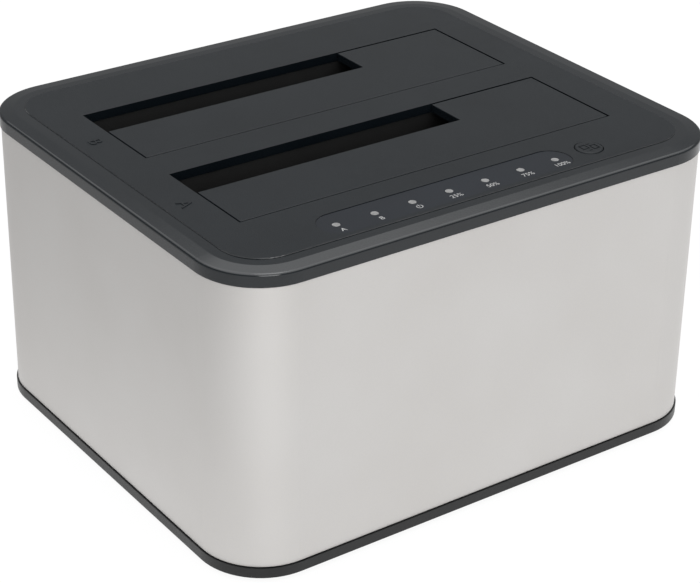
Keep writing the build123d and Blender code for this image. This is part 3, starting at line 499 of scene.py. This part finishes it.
def make_clone_cap(finish):
    """The clone button's visible cap, with the copy sign cut into its top."""
    lowest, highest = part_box("clone_button")
    centre = Vector(((lowest.x + highest.x) / 2, (lowest.y + highest.y) / 2, 0))
    cap_radius, edge, skirt_height, stem_radius = 3.3 * MM, 0.4 * MM, 1.0 * MM, 1.6 * MM
    edge_steps, turn_steps = 8, 96
    skirt_radius = (highest.x - lowest.x) / 2
    skirt_top = field_level - 2.3 * MM
    skirt_bottom = skirt_top - skirt_height
    angles = [pi / 2 * i / edge_steps for i in range(edge_steps + 1)]
    corner = [(cap_radius - edge + edge * sin(a), highest.z - edge + edge * cos(a)) for a in angles]
    profile = [
        (0, highest.z), *corner, (cap_radius, skirt_top), (skirt_radius, skirt_top),
        (skirt_radius, skirt_bottom), (stem_radius, skirt_bottom),
        (stem_radius, lowest.z), (0, lowest.z),
    ]
    bm = bmesh.new()
    line = [bm.verts.new((r, 0, z)) for r, z in profile]
    edges = [bm.edges.new(pair) for pair in zip(line, line[1:])]
    axis = {"cent": (0, 0, 0), "axis": (0, 0, 1)}
    bmesh.ops.spin(bm, geom=line + edges, angle=tau, steps=turn_steps, **axis)
    bmesh.ops.remove_doubles(bm, verts=bm.verts, dist=1e-6)
    bmesh.ops.recalc_face_normals(bm, faces=bm.faces)
    mesh = bpy.data.meshes.new("clone_cap")
    bm.to_mesh(mesh)
    bm.free()
    groove_width, groove_depth = 0.28 * MM, 0.12 * MM
    sign = [[(x * MM, y * MM) for x, y in stroke] for stroke in (
        [(-1.9, -0.5), (-1.9, 1.4), (-0.3, 1.4), (-0.3, -0.5), (-1.9, -0.5)],
        [(0.5, -1.4), (0.5, 0.5), (2.0, 0.5), (2.0, -1.4), (0.5, -1.4)],
        [(-1.1, -1.5), (-0.2, -1.5)],
        [(0.3, 1.4), (1.2, 1.4)],
    )]
    groove = strokes_mesh("clone_cap_groove", sign, groove_width, 2 * groove_depth)
    groove.transform(Matrix.Translation((0, 0, highest.z - groove_depth)))
    cutter = show(bpy.data.objects.new("clone_cap_groove", groove))
    source = show(bpy.data.objects.new("clone_cap_source", mesh))
    cut = source.modifiers.new("sign", "BOOLEAN")
    cut.operation, cut.solver, cut.object = "DIFFERENCE", "EXACT", cutter
    graph = bpy.context.evaluated_depsgraph_get()
    engraved = bpy.data.meshes.new_from_object(source.evaluated_get(graph))
    for helper in (source, cutter):
        bpy.data.objects.remove(helper)
    lay(engraved, centre)
    cap = add_piece("clone_cap", engraved, "clone_button", finish)
    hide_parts("clone_button")


def make_rocker_marks(ink):
    """The marks for off and on, on the two halves of the rocker's face that meet in a shallow V."""
    lowest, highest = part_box("power_rocker")
    fold_depth, fold_drop, fold_angle = 1.44 * MM, 5.55 * MM, 18
    fold = Vector(((lowest.x + highest.x) / 2, highest.y - fold_depth, highest.z - fold_drop))
    mark_radius, mark_offset, stroke = 0.8 * MM, 2.4 * MM, 0.32 * MM
    ring = arc(mark_radius, 0, 360)
    ring[-1] = ring[0]
    bar = [(0, -mark_radius), (0, mark_radius)]
    upright = Matrix(((-1, 0, 0, 0), (0, 0, 1, 0), (0, 1, 0, 0), (0, 0, 0, 1)))
    halves = (
        ("rocker_mark_off", [ring], mark_offset, 0),
        ("rocker_mark_on", [bar], -mark_offset, fold_angle),
    )
    for name, strokes, offset, lean in halves:
        mesh = strokes_mesh(name, strokes, stroke, print_depth)
        mesh.transform(Matrix.Translation((0, offset, 0)))
        mesh.transform(Matrix.Translation(fold) @ Matrix.Rotation(radians(lean), 4, "X") @ upright)
        add_piece(name, mesh, "power_rocker", ink)


def make_floor():
    """A white floor that keeps a soft shadow of the object, dimmer in reflections at its back left."""
    mesh = bpy.data.meshes.new("floor")
    half = 3.0
    fall_start, fall_end, dimmest = 0.06, 0.3, 0.62
    whiteness = 0.94
    corners = [(-half, -half, 0), (half, -half, 0), (half, half, 0), (-half, half, 0)]
    mesh.from_pydata(corners, [], [(0, 1, 2, 3)])
    floor = show(bpy.data.objects.new("floor", mesh))
    f = Finish("floor_finish", grey(0.8), 0.9, Specular_IOR_Level=0.0)
    f.drive("Base Color", f.ramp(f.noise(0.4), [(0.3, grey(0.80)), (0.7, grey(0.82))]))
    rays = f.add("LightPath").outputs
    place = f.add("SeparateXYZ", {0: f.place()}).outputs
    back_left = f.math("SUBTRACT", place["Y"], place["X"])
    fall = f.spread(back_left, fall_start, fall_end, 1.0, dimmest)
    strength = f.math("MAXIMUM", fall, rays["Is Camera Ray"])
    white = f.add("Emission", {"Color": (1, 1, 1, 1), "Strength": strength}).outputs[0]
    seen = f.math("MAXIMUM", rays["Is Camera Ray"], rays["Is Transmission Ray"])
    share = f.math("MULTIPLY", f.math("MAXIMUM", seen, rays["Is Glossy Ray"]), whiteness)
    mixed = f.add("MixShader", {0: share, 1: f.shader.outputs[0], 2: white})
    f.tree.links.new(mixed.outputs[0], f.output.inputs["Surface"])
    mesh.materials.append(f.material)


def make_world():
    """A room that is dim at eye level and brighter overhead, seen as white by the camera."""
    world = bpy.data.worlds.new("room")
    bpy.context.scene.world = world
    world.use_nodes = True
    tree = world.node_tree

    def spread(value, low_value, high_value, low_out, high_out, **settings):
        """Maps a range of values onto another, and holds it at both ends."""
        inputs = {0: value, 1: low_value, 2: high_value, 3: low_out, 4: high_out}
        return add_node(tree, "MapRange", inputs, **settings).outputs[0]

    def down(elevation):
        """The upright part of a ray that comes in from this elevation."""
        return -sin(radians(elevation))

    incoming = add_node(tree, "NewGeometry").outputs["Incoming"]
    ray = add_node(tree, "SeparateXYZ", {0: incoming}).outputs
    from_left, from_right = 0.7, -0.4
    walls = spread(ray["X"], from_left, from_right, left_wall_light, right_wall_light)
    overhead = spread(ray["Z"], down(zenith_from), down(zenith_to), ceiling_light, zenith_light)
    edges = (down(ceiling_from), down(ceiling_to))
    room = spread(ray["Z"], *edges, walls, overhead, interpolation_type="SMOOTHSTEP")
    seen = add_node(tree, "LightPath").outputs["Is Camera Ray"]
    background = tree.nodes["Background"]
    background.inputs["Color"].default_value = (1, 1, 1, 1)
    tree.links.new(spread(seen, 0.0, 1.0, room, 1.0), background.inputs["Strength"])


def make_lamps():
    """Square softboxes that face the object."""
    for name, (place, size, power) in lamps.items():
        data = bpy.data.lights.new(name, "AREA")
        data.shape = "SQUARE"
        data.size = size
        data.energy = power
        lamp = show(bpy.data.objects.new(name, data))
        lamp.location = place
        aim = Vector(lamp_target) - Vector(place)
        lamp.rotation_mode = "QUATERNION"
        lamp.rotation_quaternion = aim.to_track_quat("-Z", "Y")


bpy.context.scene.view_settings.view_transform = "Standard"
make_camera()
make_floor()
make_world()
make_lamps()
finishes = make_finishes()
dress_nodes(finishes)
for bay in ("front", "rear"):
    make_flap_spring(bay, finishes["steel"])
ink = print_ink()
make_strip_marks(ink)
make_bay_letters(finishes["cover_plastic"])
make_rocker_marks(ink)
make_clone_cap(finishes["cover_plastic"])
